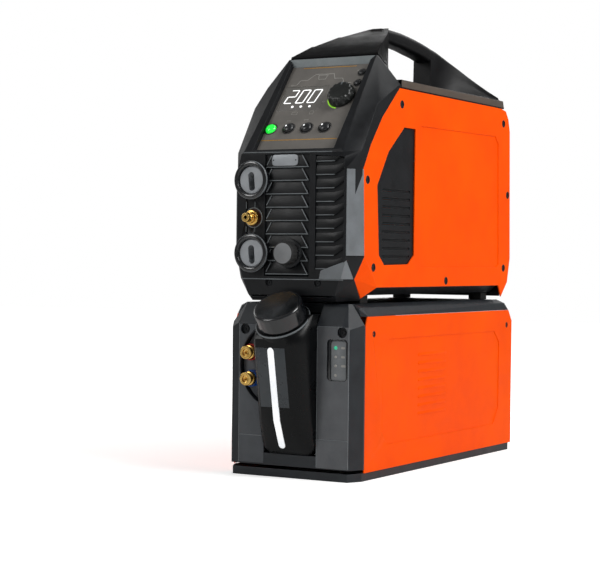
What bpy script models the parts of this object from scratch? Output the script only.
"""TIG welding machine: an inverter power source standing on its water cooler.

Every measure is in millimetres, in the machine's own frame: X to the right, Y to the back
with zero on the power source's front face, and Z up from the floor. The origin empty puts
the middle of the whole machine's footprint over the world's origin.
"""
import math

import bmesh
import bpy
from mathutils import Matrix, Vector

MM = 0.001
GAP = 0.3                     # clearance between touching pieces

# Whole machine
FRONT_Y = -62.65              # front rim of the filler cap
REAR_Y = 548.0                # back of the cable gland and mains switch
ROUND = 32                    # sides of a large round piece
SMALL_ROUND = 20              # sides of a small round piece
SKIN = 1.8                    # sheet thickness of the side panels

# Power source
PS_HALF = 103.0
PS_BOTTOM = 253.0
PS_DECK = 577.0               # top deck beside the handle
PANEL_LOW_Z = 466.0           # lower edge of the sloping control panel, on the front face
PANEL_HIGH = (116.0, 612.0)   # upper edge of the control panel, (y, z)
FACIA_DEPTH = 8.0             # how far the facia lies below its bezel
GRIP_HALF = 16.0
OPENING_FRONT = 264.0         # hand opening below the grip, front and back
OPENING_BACK = 414.0

# Water cooler
COOLER_HALF = 108.9
COOLER_TOP = 250.0
COOLER_PANEL_TOP = 232.5
PLINTH_TOP = 16.0
COOLER_REAR = 541.0

PANEL_LENGTH = math.hypot(PANEL_HIGH[0], PANEL_HIGH[1] - PANEL_LOW_Z)
PANEL_ANGLE = math.atan2(PANEL_HIGH[1] - PANEL_LOW_Z, PANEL_HIGH[0])

MATERIALS = {
    "black_plastic": ((0.018, 0.018, 0.020), 0.45, 0.0),
    "grey_plastic": ((0.12, 0.12, 0.125), 0.5, 0.0),
    "orange_paint": ((1.0, 0.115, 0.002), 0.38, 0.0),
    "gloss_black": ((0.012, 0.012, 0.014), 0.12, 0.0),
    "facia_grey": ((0.10, 0.095, 0.088), 0.4, 0.0),
    "smoked_window": ((0.03, 0.03, 0.03), 0.08, 0.0),
    "green_lamp": ((0.0, 0.75, 0.08), 0.25, 0.0),
    "brass": ((0.80, 0.52, 0.18), 0.25, 1.0),
    "aluminium": ((0.70, 0.71, 0.72), 0.4, 1.0),
    "copper": ((0.75, 0.33, 0.16), 0.35, 1.0),
    "steel": ((0.45, 0.46, 0.47), 0.4, 1.0),
    "board_green": ((0.02, 0.16, 0.06), 0.5, 0.0),
    "red_plastic": ((0.65, 0.03, 0.02), 0.35, 0.0),
    "blue_plastic": ((0.02, 0.12, 0.55), 0.35, 0.0),
    "clear_strip": ((0.75, 0.78, 0.80), 0.2, 0.0),
    "black_rubber": ((0.02, 0.02, 0.02), 0.85, 0.0),
}

# ---------------------------------------------------------------- scene and helpers


def clear_scene():
    for item in list(bpy.data.objects):
        bpy.data.objects.remove(item, do_unlink=True)


clear_scene()
machine = bpy.data.collections.new("tig_welding_machine")
cutters = bpy.data.collections.new("cutters")
for group in (machine, cutters):
    bpy.context.scene.collection.children.link(group)

origin = bpy.data.objects.new("machine_origin", None)
origin.location = (0.0, -(FRONT_Y + REAR_Y) / 2 * MM, 0.0)
machine.objects.link(origin)

panel_frame = bpy.data.objects.new("panel_frame", None)
panel_frame.parent = origin
panel_frame.location = (0.0, 0.0, PANEL_LOW_Z * MM)
panel_frame.rotation_euler = (PANEL_ANGLE, 0.0, 0.0)
machine.objects.link(panel_frame)
bpy.context.view_layer.update()


def material(name):
    found = bpy.data.materials.get(name)
    if found:
        return found
    colour, roughness, metallic = MATERIALS[name]
    made = bpy.data.materials.new(name)
    made.use_nodes = True
    shader = made.node_tree.nodes["Principled BSDF"]
    shader.inputs["Base Color"].default_value = (*colour, 1.0)
    shader.inputs["Roughness"].default_value = roughness
    shader.inputs["Metallic"].default_value = metallic
    return made


def new_object(name, mesh, finish, parent):
    """Link a mesh as a piece of the machine, or as a cutter when it has no finish."""
    item = bpy.data.objects.new(name, mesh)
    item.parent = parent or origin
    if finish:
        mesh.materials.append(material(finish))
        machine.objects.link(item)
    else:
        cutters.objects.link(item)
        item.hide_render = True
        item.display_type = "WIRE"
    return item


def mesh_of(bm, name):
    bmesh.ops.recalc_face_normals(bm, faces=bm.faces)
    mesh = bpy.data.meshes.new(name)
    bm.to_mesh(mesh)
    bm.free()
    return mesh


def hull(name, points, finish=None, parent=None):
    """The convex solid over some corner points."""
    bm = bmesh.new()
    for point in points:
        bm.verts.new(Vector(point) * MM)
    made = bmesh.ops.convex_hull(bm, input=bm.verts)
    spare = {v for v in made["geom_interior"] + made["geom_unused"]
             if isinstance(v, bmesh.types.BMVert)}
    bmesh.ops.delete(bm, geom=list(spare), context="VERTS")
    bmesh.ops.dissolve_limit(bm, angle_limit=0.001, verts=bm.verts, edges=bm.edges)
    return new_object(name, mesh_of(bm, name), finish, parent)


def box(name, x, y, z, finish=None, parent=None):
    """A block between two values on each axis."""
    bm = bmesh.new()
    size = [(high - low) * MM for low, high in (x, y, z)]
    middle = [(high + low) / 2 * MM for low, high in (x, y, z)]
    place = Matrix.Translation(middle) @ Matrix.Diagonal((*size, 1.0))
    bmesh.ops.create_cube(bm, size=1.0, matrix=place)
    return new_object(name, mesh_of(bm, name), finish, parent)


# Where a flat outline's own axes point, for a sheet facing along X, Y or Z
FACING = {
    "X": Matrix(((0, 0, 1, 0), (1, 0, 0, 0), (0, 1, 0, 0), (0, 0, 0, 1))),
    "Y": Matrix(((1, 0, 0, 0), (0, 0, -1, 0), (0, 1, 0, 0), (0, 0, 0, 1))),
    "Z": Matrix.Identity(4),
}


def sheet(name, loops, facing, low, high, finish=None, parent=None):
    """A flat outline, with any holes as further loops, thick from low to high along an axis."""
    curve = bpy.data.curves.new(name, "CURVE")
    curve.dimensions = "2D"
    curve.fill_mode = "BOTH"
    curve.extrude = (high - low) / 2 * MM
    for loop in loops:
        spline = curve.splines.new("POLY")
        spline.points.add(len(loop) - 1)
        spline.use_cyclic_u = True
        for point, (across, up) in zip(spline.points, loop):
            point.co = (across * MM, up * MM, 0.0, 1.0)
    flat = bpy.data.objects.new(name + "_outline", curve)
    machine.objects.link(flat)
    bpy.context.view_layer.update()
    solid = flat.evaluated_get(bpy.context.evaluated_depsgraph_get())
    mesh = bpy.data.meshes.new_from_object(solid)
    bpy.data.objects.remove(flat, do_unlink=True)
    middle = (high + low) / 2 * MM
    shift = Vector({"X": (middle, 0, 0), "Y": (0, middle, 0), "Z": (0, 0, middle)}[facing])
    mesh.transform(Matrix.Translation(shift) @ FACING[facing])
    bm = bmesh.new()
    bm.from_mesh(mesh)
    bmesh.ops.remove_doubles(bm, verts=bm.verts, dist=0.000005)
    bpy.data.meshes.remove(mesh)
    return new_object(name, mesh_of(bm, name), finish, parent)


def turned(name, profile, centre, direction, finish=None, parent=None, sides=ROUND):
    """A lathe-turned piece: (radius, height) points from the top down its outer side."""
    mesh = bpy.data.meshes.new(name)
    points = [(radius * MM, 0.0, height * MM) for radius, height in profile]
    edges = [(i, i + 1) for i in range(len(points) - 1)]
    if profile[0][0] > 0:
        edges.append((len(points) - 1, 0))
    mesh.from_pydata(points, edges, [])
    item = new_object(name, mesh, finish, parent)
    item.location = Vector(centre) * MM
    item.rotation_mode = "QUATERNION"
    item.rotation_quaternion = Vector(direction).to_track_quat("Z", "Y")
    screw = item.modifiers.new("lathe", "SCREW")
    screw.steps = screw.render_steps = sides
    screw.use_merge_vertices = True
    screw.merge_threshold = 0.00001
    screw.use_smooth_shade = True
    return item


def rod(name, radius, centre, direction, low, high, finish=None, parent=None, sides=ROUND):
    """A plain cylinder between two heights along its direction."""
    profile = [(0, high), (radius, high), (radius, low), (0, low)]
    return turned(name, profile, centre, direction, finish, parent, sides)


def cut(item, cutter):
    step = item.modifiers.new("cut", "BOOLEAN")
    step.operation = "DIFFERENCE"
    step.object = cutter
    return item


def join(item, other):
    step = item.modifiers.new("join", "BOOLEAN")
    step.operation = "UNION"
    step.object = other
    return item


def mirrored(points):
    """Each point, and the same point on the machine's other side."""
    return [(side * x, y, z) for x, y, z in points for side in (-1, 1)]


def circle(radius, across=0.0, up=0.0, count=SMALL_ROUND):
    turns = [2 * math.pi * i / count for i in range(count)]
    return [(across + radius * math.cos(a), up + radius * math.sin(a)) for a in turns]


def rectangle(x, z):
    return [(x[0], z[0]), (x[1], z[0]), (x[1], z[1]), (x[0], z[1])]


TO_FRONT = (0, -1, 0)
TO_BACK = (0, 1, 0)
UP = (0, 0, 1)

# ---------------------------------------------------------------- power source: outer shell

# Side panel outline, (y, z): its front edge going up, then back and round to the bottom edge
SIDE_FRONT = [(31, 317), (26, 441), (48, 477), (82, 518), (135, 564)]
SIDE_BACK = [(500, 564), (520, 561), (531, 548), (537, 528), (543, 318), (533, 279),
             (508, 255), (498, 273.5), (70, 273.5)]
# The panel's lower front corner bends inwards round the bumper: (x, y, z) of its free edge
SIDE_TIP = [(90, 46, 258), (94.5, 18, 285)]
VENT_OUTLINE = [(151, 509), (189, 509), (188, 320), (169, 306), (91, 304.5), (74, 319),
                (67, 420), (101, 470)]
VENT_RIM = 1.0


# Where the front moulding ends and the top moulding begins, (y, z), going up
SEAM = [(139, 566), (139, 577), (121, 613), (121, 700)]


def grown(outline, amount):
    """The outline with its edges pushed out by an amount, its points running either way."""
    count = len(outline)
    area = sum(outline[i - 1][0] * outline[i][1] - outline[i][0] * outline[i - 1][1]
               for i in range(count))
    turn = 1.0 if area > 0 else -1.0
    made = []
    for i in range(count):
        before = Vector(outline[i]) - Vector(outline[i - 1])
        after = Vector(outline[(i + 1) % count]) - Vector(outline[i])
        out_a = Vector((before.y, -before.x)).normalized() * turn
        out_b = Vector((after.y, -after.x)).normalized() * turn
        middle = (out_a + out_b).normalized()
        reach = amount / max(0.35, middle.dot(out_a))
        point = Vector(outline[i]) + middle * reach
        made.append((point.x, point.y))
    return made


def front_frame():
    """Front moulding: bumper, grille face, chamfered sides and the hood round the panel."""
    outer = mirrored([
        (70, 12, 253), (88, 46, 255), (72, 3, 262), (80, 0, 285), (94.5, 18, 285),
        (90, 0, 317), (PS_HALF, 30, 317), (90, 0, 441), (PS_HALF, 26, 441),
        (84, 0, 464), (80, 2, 468), (PS_HALF, 21, 467), (PS_HALF, 66, 536),
        (96, 90, 568), (74, *PANEL_HIGH), (74, 121, 612), (PS_HALF, 136, 570),
        (PS_HALF, 150, 560), (88, 150, 255)])
    frame = hull("front_frame", outer, "black_plastic")
    front_edge = [(y - GAP, z) for y, z in [point[1:] for point in SIDE_TIP] + SIDE_FRONT]
    behind = [(front_edge[0][0], 240)] + front_edge + SEAM + [(300, 700), (300, 240)]
    cut(frame, sheet("front_frame_back_edge", [behind], "X", -120, 120))
    wall = 4.0
    inside = mirrored([
        (66, wall, 259), (86, wall, 290), (97, 32, 290), (86, wall, 455), (97, 30, 455),
        (70, 12, 458), (97, 40, 458), (97, 76, 532), (70, 127, 600), (97, 200, 560),
        (84, 200, 259)])
    cut(frame, hull("front_frame_cavity", inside))
    low, high = 5.0, PANEL_LENGTH - 9.0
    recess = [(-67, low), (67, low), (67, high), (-67, high)]
    cut(frame, sheet("panel_recess", [recess], "Z", -40, 3, parent=panel_frame))
    return frame


def under_grip():
    """Cutter for the hand opening, below the grip and right through the cover."""
    opening = [(OPENING_FRONT, 577), (OPENING_FRONT, 650.5), (336, 646), (392, 639.5),
               (OPENING_BACK, 635), (OPENING_BACK, 577)]
    return sheet("hand_opening", [opening], "X", -120, 120)


# Outline of the forehead's right half at each height: z, then (x, y) corners front to back
FOREHEAD = [
    (571, [(95, 137), (95, 142), (80, 172), (60, 210), (34, 248), (18, 262), (18, 264)]),
    (577, [(95, 137), (95, 142), (80, 172), (60, 210), (34, 248), (18, 262), (18, 264)]),
    (590, [(86, 131), (86, 135), (74, 165), (52, 208), (30, 246), (17, 262), (17, 264)]),
    (604, [(78, 124), (78, 128), (66, 160), (44, 208), (26, 246), (16.5, 261), (16.5, 264)]),
    (617, [(73, 119), (73, 121.5), (60, 158), (38, 206), (23, 245), (16, 260), (16, 264)]),
    (636, [(60, 160), (58, 166), (38, 208), (22, 246), (16, 264)]),
    (655, [(42, 210), (24, 246), (16, 264)]),
    (672, [(16, 262), (16, 264)])]


def top_cover():
    """Top moulding: forehead above the panel, deck, carrying handle and flared tail."""
    deck = hull("top_cover", mirrored([
        (PS_HALF, 139, 564.3), (PS_HALF, 139, 577), (PS_HALF, 506, 577), (PS_HALF, 514, 564.3)]),
        "black_plastic")
    grip = hull("grip", mirrored([
        (GRIP_HALF, 270, 650), (GRIP_HALF, 270, 672), (GRIP_HALF, 300, 672),
        (GRIP_HALF, 360, 667), (GRIP_HALF, 436, 656), (GRIP_HALF, 436, 630)]))
    tail_sections = [(GRIP_HALF, 436, 656), (30, 466, 640), (50, 488, 620), (76, 502, 600),
                     (PS_HALF, 511, 579)]
    join(deck, grip)
    for step, ((low, wide), (high, narrow)) in enumerate(zip(FOREHEAD, FOREHEAD[1:])):
        layer = [(x, y, low - 1) for x, y in wide] + [(x, y, high) for x, y in narrow]
        join(deck, hull(f"forehead_{step}", mirrored(layer)))
    for step, (near, far) in enumerate(zip(tail_sections, tail_sections[1:])):
        overlap = 2.0
        corners = [(near[0], near[1] - overlap, near[2]), (near[0], near[1] - overlap, 570),
                   far, (far[0], far[1], 570)]
        join(deck, hull(f"tail_{step}", mirrored(corners)))
    join(deck, box("tail_root", (-GRIP_HALF, GRIP_HALF), (OPENING_BACK, 440), (570, 650)))
    cut(deck, under_grip())
    before_seam = [(y + GAP, z) for y, z in SEAM] + [(0, 700), (0, 550), (139 + GAP, 550)]
    cut(deck, sheet("before_seam", [before_seam], "X", -120, 120))
    hollow = mirrored([(98, 152, 560), (98, 152, 573), (98, 500, 573), (98, 500, 560)])
    cut(deck, hull("deck_hollow", hollow))
    cut(deck, hull("forehead_hollow", mirrored([
        (64, 133, 598), (64, 133, 560), (80, 148, 560), (18, 222, 650), (12, 238, 655),
        (12, 246, 560), (52, 156, 618)])))
    return deck


def side_panel(name, side):
    """Painted sheet side, with the opening for its vent grille."""
    low, high = sorted((side * (PS_HALF - SKIN), side * PS_HALF))
    opening = grown(VENT_OUTLINE, -VENT_RIM)
    panel = sheet(name, [SIDE_FRONT + SIDE_BACK, opening], "X", low, high, "orange_paint")
    bend = [(PS_HALF, *SIDE_BACK[-1]), (PS_HALF, *SIDE_FRONT[0])] + SIDE_TIP
    overlap = [(PS_HALF, SIDE_BACK[-1][0] + 1, SIDE_BACK[-1][1] + 1),
               (PS_HALF, SIDE_FRONT[0][0] + 1, SIDE_FRONT[0][1] + 1)]
    corners = [(side * (x - inward), y, z) for x, y, z in bend + overlap
               for inward in (0, SKIN)]
    return join(panel, hull(f"{name}_bend", corners))


def vent_grille(name, side):
    """Moulded vent let into the side panel, its louvres cut right through."""
    face = side * (PS_HALF - SKIN - 0.4)
    back = side * (PS_HALF - 8.0)
    low, high = sorted((face, back))
    slots = []
    for row in range(9):
        z = 316 + row * 12.0
        slots.append(rectangle((88, 176), (z, z + 4.0)))
    outline = grown(VENT_OUTLINE, -VENT_RIM - GAP)
    return sheet(name, [outline] + slots, "X", low, high, "black_plastic")


def base_tray():
    """Sheet chassis floor that carries the electronics, folded up along both sides."""
    floor = hull("power_base_tray", mirrored([
        (84, 50, 262), (98, 62, 273.2), (84, 504, 262), (98, 500, 273.2), (84, 504, 273.2)]),
        "black_plastic")
    hollow = hull("tray_hollow", mirrored([
        (80, 54, 264.5), (94, 66, 280), (80, 500, 264.5), (94, 496, 280)]))
    return cut(floor, hollow)


def foot(name, x, y):
    half = 11.0
    box(name, (x - half, x + half), (y - half, y + half),
               (COOLER_TOP + GAP, 262 - GAP), "black_rubber")


def guard_openings(radius, x, z, ribs=4):
    """Outlines of the sectors between the ribs of a round fan guard."""
    sectors = []
    rib = 3.0
    for index in range(ribs):
        start = 2 * math.pi * index / ribs
        end = start + 2 * math.pi / ribs
        for inner, outer in ((22.0, radius * 0.56), (radius * 0.56 + 4.0, radius)):
            lean_in, lean_out = math.asin(rib / inner), math.asin(rib / outer)
            steps = 5
            arc_out = [start + lean_out + (end - start - 2 * lean_out) * i / steps
                       for i in range(steps + 1)]
            arc_in = [end - lean_in - (end - start - 2 * lean_in) * i / steps
                      for i in range(steps + 1)]
            loop = [(x + outer * math.cos(a), z + outer * math.sin(a)) for a in arc_out]
            loop += [(x + inner * math.cos(a), z + inner * math.sin(a)) for a in arc_in]
            sectors.append(loop)
    return sectors


PS_FAN = (20.0, 372.0)         # fan centre, (x, z)
PS_FAN_RADIUS = 56.0
SWITCH = (-62.0, 500.0)
ROCKER_TILT = 11.0             # lean of the mains rocker to either side
GLAND = (-62.0, 420.0)
GAS_IN = (-62.0, 330.0)


def rear_panel():
    """Back moulding between the side panels, with fan guard and service openings."""
    inset = PS_HALF - SKIN - GAP
    outline = [(505, 256), (532, 281), (541.5, 318), (535.5, 527), (529, 546), (519, 559),
               (505, 562)]
    panel = hull("rear_panel",
                 [(s * inset, y, z) for y, z in outline for s in (-1, 1)], "black_plastic")
    hollow = [(480, 262), (506, 262), (529, 284), (536, 318), (531, 526), (524, 545),
              (515, 556), (480, 556)]
    cut(panel, hull("rear_hollow",
                    [(s * (inset - 4), y, z) for y, z in hollow for s in (-1, 1)]))
    for index, loop in enumerate(guard_openings(PS_FAN_RADIUS - 3, *PS_FAN)):
        cut(panel, sheet(f"rear_guard_{index}", [loop], "Y", 520, 560))
    cut(panel, box("switch_hole", (SWITCH[0] - 14, SWITCH[0] + 14), (520, 560),
                   (SWITCH[1] - 17, SWITCH[1] + 17)))
    for label, (x, z), radius in (("gland", GLAND, 10.0), ("gas", GAS_IN, 6.5)):
        cut(panel, rod(f"{label}_hole", radius + GAP, (x, 0, z), TO_BACK, 520, 560,
                       sides=SMALL_ROUND))
    return panel


# ---------------------------------------------------------------- power source: control panel

KNOB_PLACE = (40.0, 112.0)
MODE_BUTTONS = [(-58.0 + 30.0 * i, 52.5) for i in range(4)]
SIDE_BUTTONS = [(56.0, 139.0), (56.0, 160.0)]
MODE_RADIUS = 8.5
SIDE_RADIUS = 5.5
WINDOW = ((-62.0, 10.0), (88.0, 136.0))


def control_panel():
    """Facia, window, circuit board, knob and buttons, all in the sloping panel's frame."""
    facia_edge = rectangle((-66.7, 66.7), (5.3, PANEL_LENGTH - 9.3))
    holes = [rectangle((WINDOW[0][0] - GAP, WINDOW[0][1] + GAP),
                       (WINDOW[1][0] - GAP, WINDOW[1][1] + GAP)),
             circle(4.0, *KNOB_PLACE, count=16)]
    holes += [circle(MODE_RADIUS + GAP, *place) for place in MODE_BUTTONS]
    holes += [circle(SIDE_RADIUS + GAP, *place, count=16) for place in SIDE_BUTTONS]
    top = -FACIA_DEPTH
    sheet("display_facia", [facia_edge] + holes, "Z", top - 2.5, top, "facia_grey", panel_frame)
    sheet("display_window", [rectangle(*WINDOW)], "Z", top - 2.0, top - GAP, "smoked_window",
          panel_frame)
    sheet("control_board", [rectangle((-64, 64), (12, PANEL_LENGTH - 16))], "Z",
          top - 12.0, top - 10.4, "board_green", panel_frame)
    grip = [(0, 6), (17.5, 6), (20, 3.5), (21, -4), (21, -7.2), (3.5, -7.2), (3.5, -17),
            (0, -17)]
    turned("control_knob", grip, (*KNOB_PLACE, 0), UP, "black_plastic", panel_frame, 24)
    for index, place in enumerate(MODE_BUTTONS):
        dome = [(0, 5), (5, 4.2), (7.6, 2), (MODE_RADIUS, -1), (MODE_RADIUS, -7), (0, -7)]
        finish = "green_lamp" if index == 0 else "black_plastic"
        turned(f"mode_button_{index + 1}", dome, (*place, top), UP, finish, panel_frame,
               SMALL_ROUND)
    for index, place in enumerate(SIDE_BUTTONS):
        dome = [(0, 3), (3.5, 2.5), (SIDE_RADIUS, 0.5), (SIDE_RADIUS, -7), (0, -7)]
        turned(f"side_button_{index + 1}", dome, (*place, top), UP, "black_plastic",
               panel_frame, 16)


# ---------------------------------------------------------------- power source: connections

POSITIVE = (-63.0, 426.0)
NEGATIVE = (-62.0, 321.0)
GAS_OUT = (-63.0, 372.0)
CONTROL = (-1.0, 321.0)
SOCKET_SHANK = 19.0


def weld_socket(name, place):
    """Twist-lock current socket: a gloss ring round a keyed metal contact."""
    x, z = place
    ring = [(24, 10), (26.4, 9.4), (27.6, 7.5), (27.6, GAP), (SOCKET_SHANK, GAP),
            (SOCKET_SHANK, -14), (16.5, -14), (16.5, 0.7), (20.5, 0.7), (20.5, 9)]
    turned(f"{name}_socket_ring", ring, (x, 0, z), TO_FRONT, "gloss_black")
    contact = [(0, 5), (20.2, 5), (20.2, 1), (16.2, 1), (16.2, -24), (0, -24)]
    core = turned(f"{name}_socket_contact", contact, (x, 0, z), TO_FRONT, "steel")
    cut(core, rod(f"{name}_bore", 5.6, (x, 0, z), TO_FRONT, -20, 30, sides=SMALL_ROUND))
    cut(core, box(f"{name}_keyway", (x - 5.4, x + 5.4), (-30, 6), (z - 13.5, z + 13.5)))


def connections(frame):
    for name, place in (("positive", POSITIVE), ("negative", NEGATIVE)):
        weld_socket(name, place)
        cut(frame, rod(f"{name}_hole", SOCKET_SHANK + GAP, (place[0], 0, place[1]), TO_FRONT,
                       -40, 10))
    x, z = GAS_OUT
    nose = [(2.5, 22), (6.2, 22), (6.8, 19), (5.6, 17), (6.8, 14), (5.6, 12), (8.5, 11),
            (8.5, 6), (11, 5.5), (11, GAP), (6, GAP), (6, -22), (2.5, -22)]
    turned("gas_outlet", nose, (x, 0, z), TO_FRONT, "brass", sides=SMALL_ROUND)
    cut(frame, rod("gas_outlet_hole", 6 + GAP, (x, 0, z), TO_FRONT, -40, 10,
                   sides=SMALL_ROUND))
    x, z = CONTROL
    shell = [(0, 2), (10, 2), (10, 12), (12.5, 12), (12.5, 4), (21, 4), (21, GAP), (12, GAP),
             (12, -18), (0, -18)]
    turned("control_socket", shell, (x, 0, z), TO_FRONT, "black_plastic")
    cap = [(0, 20), (16.2, 20), (17.5, 18.5), (17.5, 4.5), (13, 4.5), (13, 13), (0, 13)]
    turned("control_socket_cap", cap, (x, 0, z), TO_FRONT, "black_rubber")
    cut(frame, rod("control_socket_hole", 12 + GAP, (x, 0, z), TO_FRONT, -40, 10))


# ---------------------------------------------------------------- power source: inside


def fan(prefix, x, z, radius, front, depth, finish="black_plastic"):
    """Axial fan: a square frame with a hub carried on four arms, and its bladed rotor."""
    half = radius + 4.0
    bore = circle(radius + 1.0, x, z, ROUND)
    square = rectangle((x - half, x + half), (z - half, z + half))
    frame = sheet(f"{prefix}_fan_frame", [square, bore], "Y", front, front + depth, finish)
    arm_front = front + depth - 4.0
    spider = box(f"{prefix}_arm_0", (x - half + 1, x + half - 1), (arm_front, front + depth - 1),
                 (z - 3, z + 3))
    join(frame, spider)
    join(frame, box(f"{prefix}_arm_1", (x - 3, x + 3), (arm_front, front + depth - 1),
                    (z - half + 1, z + half - 1)))
    join(frame, rod(f"{prefix}_motor_mount", 17.0, (x, 0, z), TO_BACK, arm_front + 0.5,
                    front + depth - 0.5, sides=SMALL_ROUND))
    hub_back = arm_front - 1.0
    rotor = rod(f"{prefix}_fan_rotor", 18.0, (x, front + 2.0, z), TO_BACK, 0.0,
                hub_back - front - 2.0, finish, sides=SMALL_ROUND)
    blades = 7
    for index in range(blades):
        turn = Matrix.Rotation(2 * math.pi * index / blades, 4, "Y")
        chord = 13.0
        lift = (hub_back - front - 4.0) / 2
        corners = []
        for reach, width in ((14.0, chord * 0.7), (radius - 4.0, chord * 1.25)):
            for along, thick in ((-1, 0.8), (-1, -0.8), (1, 0.8), (1, -0.8)):
                point = Vector((along * width, along * lift * 0.75 + thick, reach))
                corners.append(turn @ point + Vector((x, front + 2.0 + lift, z)))
        join(rotor, hull(f"{prefix}_blade_{index}", corners))
    return rotor


def heat_sink():
    """Finned extrusion that carries the power transistors and rectifiers."""
    fins = 9
    left, right, low, high, web = -70.0, 20.0, 300.0, 356.0, 8.0
    pitch = (right - left) / (fins - 1)
    outline = [(left - 1.5, low), (right + 1.5, low)]
    for index in reversed(range(fins)):
        x = left + index * pitch
        outline += [(x + 1.5, low + web), (x + 1.5, high), (x - 1.5, high), (x - 1.5, low + web)]
    outline = outline[:2] + outline[3:-1]
    return sheet("heat_sink", [outline], "Y", 210, 400, "aluminium")


def power_internals():
    sheet("main_board", [rectangle((-90, 90), (110, 470))], "Z", 290, 292, "board_green")
    heat_sink()
    core = box("main_transformer", (36, 92), (215, 275), (296, 352), "steel")
    join(core, hull("winding", [(x, y, z) for x in (44, 84) for y in (206, 284)
                                for z in (302, 346)]))
    choke = [(14, 13), (32, 13), (34, 10), (34, -10), (32, -13), (14, -13)]
    turned("output_choke", choke, (-45, 155, 309), UP, "copper", sides=24)
    valve = box("gas_valve", (-82, -42), (440, 470), (318, 342), "brass")
    join(valve, rod("valve_coil", 11, (-62, 455, 0), UP, 340, 376, sides=SMALL_ROUND))


def rear_fittings():
    x, z = SWITCH
    housing = box("mains_switch_body", (x - 13.7, x + 13.7), (512, 534), (z - 16.7, z + 16.7),
                  "black_plastic")
    cut(housing, box("rocker_well", (x - 10, x + 10), (522, 560), (z - 13.5, z + 13.5)))
    rocker = sheet("mains_rocker", [[(-7, 11.5), (-7, -11.5), (6.5, -12.5), (3.5, 0),
                                     (6.5, 12.5)]], "X", -9.4, 9.4, "red_plastic")
    rocker.location = Vector((x, 533, z)) * MM
    rocker.rotation_euler = (math.radians(-ROCKER_TILT), 0, 0)
    x, z = GLAND
    body = [(4.5, 11), (11, 11), (14, 9), (14, 2.2), (10, 2.2), (10, -22), (4.5, -22)]
    turned("cable_gland", body, (x, REAR_Y - 11, z), TO_BACK, "black_plastic",
           sides=SMALL_ROUND)
    x, z = GAS_IN
    tail = [(2.5, 6), (5, 6), (5.6, 4.2), (4.4, 3), (9.5, 2.5), (9.5, -0.1), (6.5, -0.1),
            (6.5, -26), (2.5, -26)]
    turned("gas_inlet", tail, (x, REAR_Y - 6, z), TO_BACK, "brass", sides=SMALL_ROUND)


# ---------------------------------------------------------------- water cooler: outer shell

TANK_X = (-41.0, 45.0)
COOLER_FACE = 96.0             # half width of the flat front
POCKET = (-20.0, 160.0, 62.4)  # fitting pocket: centre x, z and radius
COLLARS = (("return", 178.0, "red_plastic"), ("outlet", 140.0, "blue_plastic"))
FITTING_X = -64.5
POCKET_DEPTH = 14.0


# Front line of the tank bulge, (y, z), from the filler down to the foot
TANK_LINE = [(-47.0, 200.0), (-25.4, 84.5), (-8.0, 42.0)]
FACET_X = (-29.0, 19.0)        # flat strip down the tank's front


def tank_points(inset):
    """Corners of the tank bulge: deep at the top, nearly flush at the bottom."""
    left, right = TANK_X[0] + inset, TANK_X[1] - inset
    facet = (FACET_X[0] + inset, FACET_X[1] - inset)
    points = [(x, y + inset, z) for x in facet for y, z in TANK_LINE]
    for x in (left, right):
        points += [(x, 0, 34 + inset), (x, -3 + inset, 48), (x, -14 + inset, 190),
                   (x, -10 + inset, 236 - inset), (x, 66 - inset, 34 + inset),
                   (x, 66 - inset, 228 - inset), (x, 20, 236 - inset)]
    points += [(x, -30 + inset, 222 - inset) for x in facet]
    return points


CAP_CENTRE = (0.0, -35.0, 248.0)
CAP_TILT = (0, -math.sin(math.radians(36)), math.cos(math.radians(36)))
CAP_RADIUS = 36.0
CAP_HEIGHT = 26.0
FLANGE = 40.0                  # radius of the neck flange under the cap


def coolant_tank():
    """Moulded coolant reservoir with its filler neck leaning to the front."""
    tank = hull("coolant_tank", tank_points(0.0), "gloss_black")
    seat = -CAP_HEIGHT - GAP
    join(tank, rod("neck_flange", FLANGE, CAP_CENTRE, CAP_TILT, -46, seat))
    cut(tank, rod("cap_clearance", 70, CAP_CENTRE, CAP_TILT, seat, 60))
    cut(tank, hull("tank_hollow", tank_points(3.5)))
    join(tank, rod("filler_neck", 26, CAP_CENTRE, CAP_TILT, -44, -14, sides=24))
    cut(tank, rod("neck_bore", 22, CAP_CENTRE, CAP_TILT, -60, 20, sides=24))
    groove = [(x, y + out, z) for x in (-10.1, 1.1)
              for y, z in (line_at(189), TANK_LINE[1], line_at(41)) for out in (-6, 1.6)]
    cut(tank, hull("window_groove", groove))
    return tank


def line_at(z):
    """The point of the tank's front line at a height."""
    for (y_a, z_a), (y_b, z_b) in zip(TANK_LINE, TANK_LINE[1:]):
        if z_b <= z <= z_a:
            return (y_a + (y_b - y_a) * (z_a - z) / (z_a - z_b), z)
    return TANK_LINE[-1]


def level_window():
    """Clear level strip let into the tank's front facet."""
    strip = [(x, y + out, z) for x in (-9.8, 0.8)
             for y, z in (line_at(188), TANK_LINE[1], line_at(43)) for out in (-0.4, 1.0)]
    hull("level_window", strip, "clear_strip")


def filler_cap():
    """Round screw cap: a deep skirt that hangs over the filler neck."""
    cap = [(0, 0), (33.5, 0), (CAP_RADIUS, -2.5), (CAP_RADIUS, -CAP_HEIGHT),
           (27, -CAP_HEIGHT), (27, -11), (0, -11)]
    turned("filler_cap", cap, CAP_CENTRE, CAP_TILT, "gloss_black")


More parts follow.
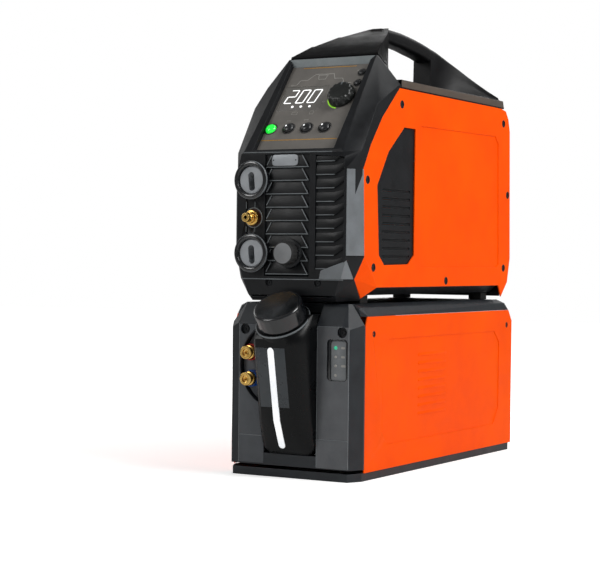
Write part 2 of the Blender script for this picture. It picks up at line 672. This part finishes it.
def cooler_front():
    """Front moulding of the cooler, thick enough for the fitting pocket and lamp panel."""
    outer = mirrored([
        (COOLER_FACE, 0, 17), (COOLER_FACE, 0, 214), (86, 0, 220), (84, 21, COOLER_TOP),
        (COOLER_HALF, 23, 17), (COOLER_HALF, 23, 221), (88, 26, COOLER_TOP),
        (COOLER_HALF, 26, 17), (COOLER_HALF, 26, 219)])
    cover = hull("cooler_front_cover", outer, "black_plastic")
    cut(cover, hull("cooler_front_hollow",
                    [(x, y, z) for x in (-103, 103) for y in (18, 40) for z in (12, 205)]))
    middle = (TANK_X[0] - GAP, TANK_X[1] + GAP)
    cut(cover, box("tank_cutout", middle, (-10, 40), (34 - GAP, 260)))
    cut(cover, rod("flange_clearance", FLANGE + 1.5, CAP_CENTRE, CAP_TILT, -50, 40))
    pocket_x, pocket_z, pocket_r = POCKET
    arc = [(pocket_x + pocket_r * math.cos(a), pocket_z + pocket_r * math.sin(a))
           for a in (math.radians(110 + 14 * i) for i in range(11))]
    arc += [(TANK_X[0] + 4, pocket_z - 40), (TANK_X[0] + 4, pocket_z + 40)]
    cut(cover, sheet("fitting_pocket", [arc], "Y", -5, POCKET_DEPTH))
    cut(cover, box("lamp_pocket", (67, 93), (-5, 5), (142, 199)))
    for label, z, finish in COLLARS:
        cut(cover, rod(f"{label}_fitting_hole", 6.5 + GAP, (FITTING_X, 0, z), TO_BACK, -5, 30,
                       sides=SMALL_ROUND))
    return cover


def cooler_fittings():
    """Quick-connect nipples with their coloured collars, and the status lamp panel."""
    for label, z, finish in COLLARS:
        seat = 0.6 - POCKET_DEPTH
        nipple = [(3.2, 15), (8.8, 15), (9.8, 12.5), (7.6, 10.5), (7.6, 7.5), (10.2, 7),
                  (10.2, seat), (6.5, seat), (6.5, -40), (3.2, -40)]
        turned(f"coolant_{label}_fitting", nipple, (FITTING_X, 0, z), TO_FRONT, "brass",
               sides=SMALL_ROUND)
        collar = [(10.6, 2), (11.4, 2), (12, 0.5), (12, -POCKET_DEPTH + GAP),
                  (10.6, -POCKET_DEPTH + GAP)]
        turned(f"coolant_{label}_collar", collar, (FITTING_X, 0, z), TO_FRONT, finish,
               sides=SMALL_ROUND)
    box("lamp_panel", (67 + GAP, 93 - GAP), (2, 5 - GAP), (142 + GAP, 199 - GAP), "facia_grey")


def cooler_case():
    outline = [(33, COOLER_PANEL_TOP), (26.5, 219), (26.5, 12), (COOLER_REAR, 12),
               (COOLER_REAR, 214), (527, COOLER_PANEL_TOP)]
    slots = [rectangle((198, 290), (83 + 12.6 * row, 86 + 12.6 * row)) for row in range(8)]
    for name, side in (("cooler_left_panel", -1), ("cooler_right_panel", 1)):
        low, high = sorted((side * (COOLER_HALF - SKIN), side * COOLER_HALF))
        sheet(name, [outline] + slots, "X", low, high, "orange_paint")
    tray_low = COOLER_PANEL_TOP + GAP
    tray = hull("cooler_top_tray", mirrored([
        (COOLER_HALF, 34, tray_low), (COOLER_HALF, 526, tray_low), (98, 27, 243),
        (88, 27, COOLER_TOP), (100, 30, COOLER_TOP - 5), (92, 515, COOLER_TOP),
        (104, 520, COOLER_TOP - 6), (100, 27, tray_low), (100, 532, tray_low)]),
        "black_plastic")
    cut(tray, hull("tray_underside", mirrored([
        (90, 70, 220), (90, 70, 246), (90, 512, 246), (90, 512, 220)])))
    cut(tray, box("tank_notch", (TANK_X[0] - 1, TANK_X[1] + 1), (10, 69), (220, 237)))
    base = hull("cooler_base", mirrored([
        (95, 2, 0), (95, 2, PLINTH_TOP - 4.5), (106, 24, 0), (106, 24, PLINTH_TOP - 4.5),
        (106, 537, 0), (106, 537, PLINTH_TOP - 4.5)]), "black_plastic")
    cut(base, box("base_hollow", (-96, 96), (28, 526), (-5, 7)))
    inset = COOLER_HALF - SKIN - GAP
    rear = sheet("cooler_rear_panel",
                 [rectangle((-inset, inset), (12, COOLER_PANEL_TOP - 20))]
                 + guard_openings(COOLER_FAN_RADIUS - 3, *COOLER_FAN), "Y",
                 COOLER_REAR - 3, COOLER_REAR - GAP, "black_plastic")
    return rear


# ---------------------------------------------------------------- water cooler: inside

COOLER_FAN = (20.0, 116.0)
COOLER_FAN_RADIUS = 74.0
PUMP = (-40.0, 70.0)           # pump and motor axis, (x, z)


def cooler_internals():
    x, z = PUMP
    motor = rod("pump_motor", 34, (x, 0, z), TO_BACK, 186, 300, "steel")
    join(motor, box("motor_cradle", (x - 26, x + 26), (200, 286), (12.5, z)))
    volute = [(9, 126), (33, 126), (33, 154), (6, 154), (6, 160), (38, 160), (38, 120),
              (14, 116), (14, 100), (9, 100)]
    housing = turned("pump_housing", volute, (x, 0, z), TO_BACK, "aluminium")
    join(housing, box("pump_foot", (x - 20, x + 20), (122, 158), (12.5, z - 35)))
    wheel = turned("pump_impeller", [(0, 40), (5, 40), (5, 12), (29, 10), (29, 6), (0, 4)],
                   (x, 124, z), TO_BACK, "black_plastic", sides=24)
    for index in range(6):
        turn = Matrix.Rotation(math.pi * index / 3, 4, "Y")
        corners = [turn @ Vector((along, y, reach)) + Vector((x, 124, z))
                   for along in (-1, 1) for y in (9, 18) for reach in (4, 27)]
        join(wheel, hull(f"impeller_vane_{index}", corners))
    core = box("radiator", (-62, 102), (462, 488), (34, 198), "aluminium")
    for row in range(9):
        low = 44 + row * 17
        cut(core, box(f"radiator_gap_{row}", (-52, 92), (455, 495), (low, low + 8)))
    fan("cooler", *COOLER_FAN, COOLER_FAN_RADIUS, 492, 26)


# ---------------------------------------------------------------- the whole machine

shell = front_frame()
connections(shell)
top_cover()
for prefix, hand in (("left", -1), ("right", 1)):
    side_panel(f"{prefix}_side_panel", hand)
    vent_grille(f"{prefix}_vent_grille", hand)
base_tray()
rear_panel()
for row_name, foot_y in (("front", 72.0), ("rear", 488.0)):
    for prefix, hand in (("left", -1), ("right", 1)):
        foot(f"{row_name}_{prefix}_foot", hand * 70.0, foot_y)
control_panel()
power_internals()
fan("power", *PS_FAN, PS_FAN_RADIUS, 495, 24)
rear_fittings()
coolant_tank()
level_window()
filler_cap()
cooler_front()
cooler_fittings()
cooler_case()
cooler_internals()
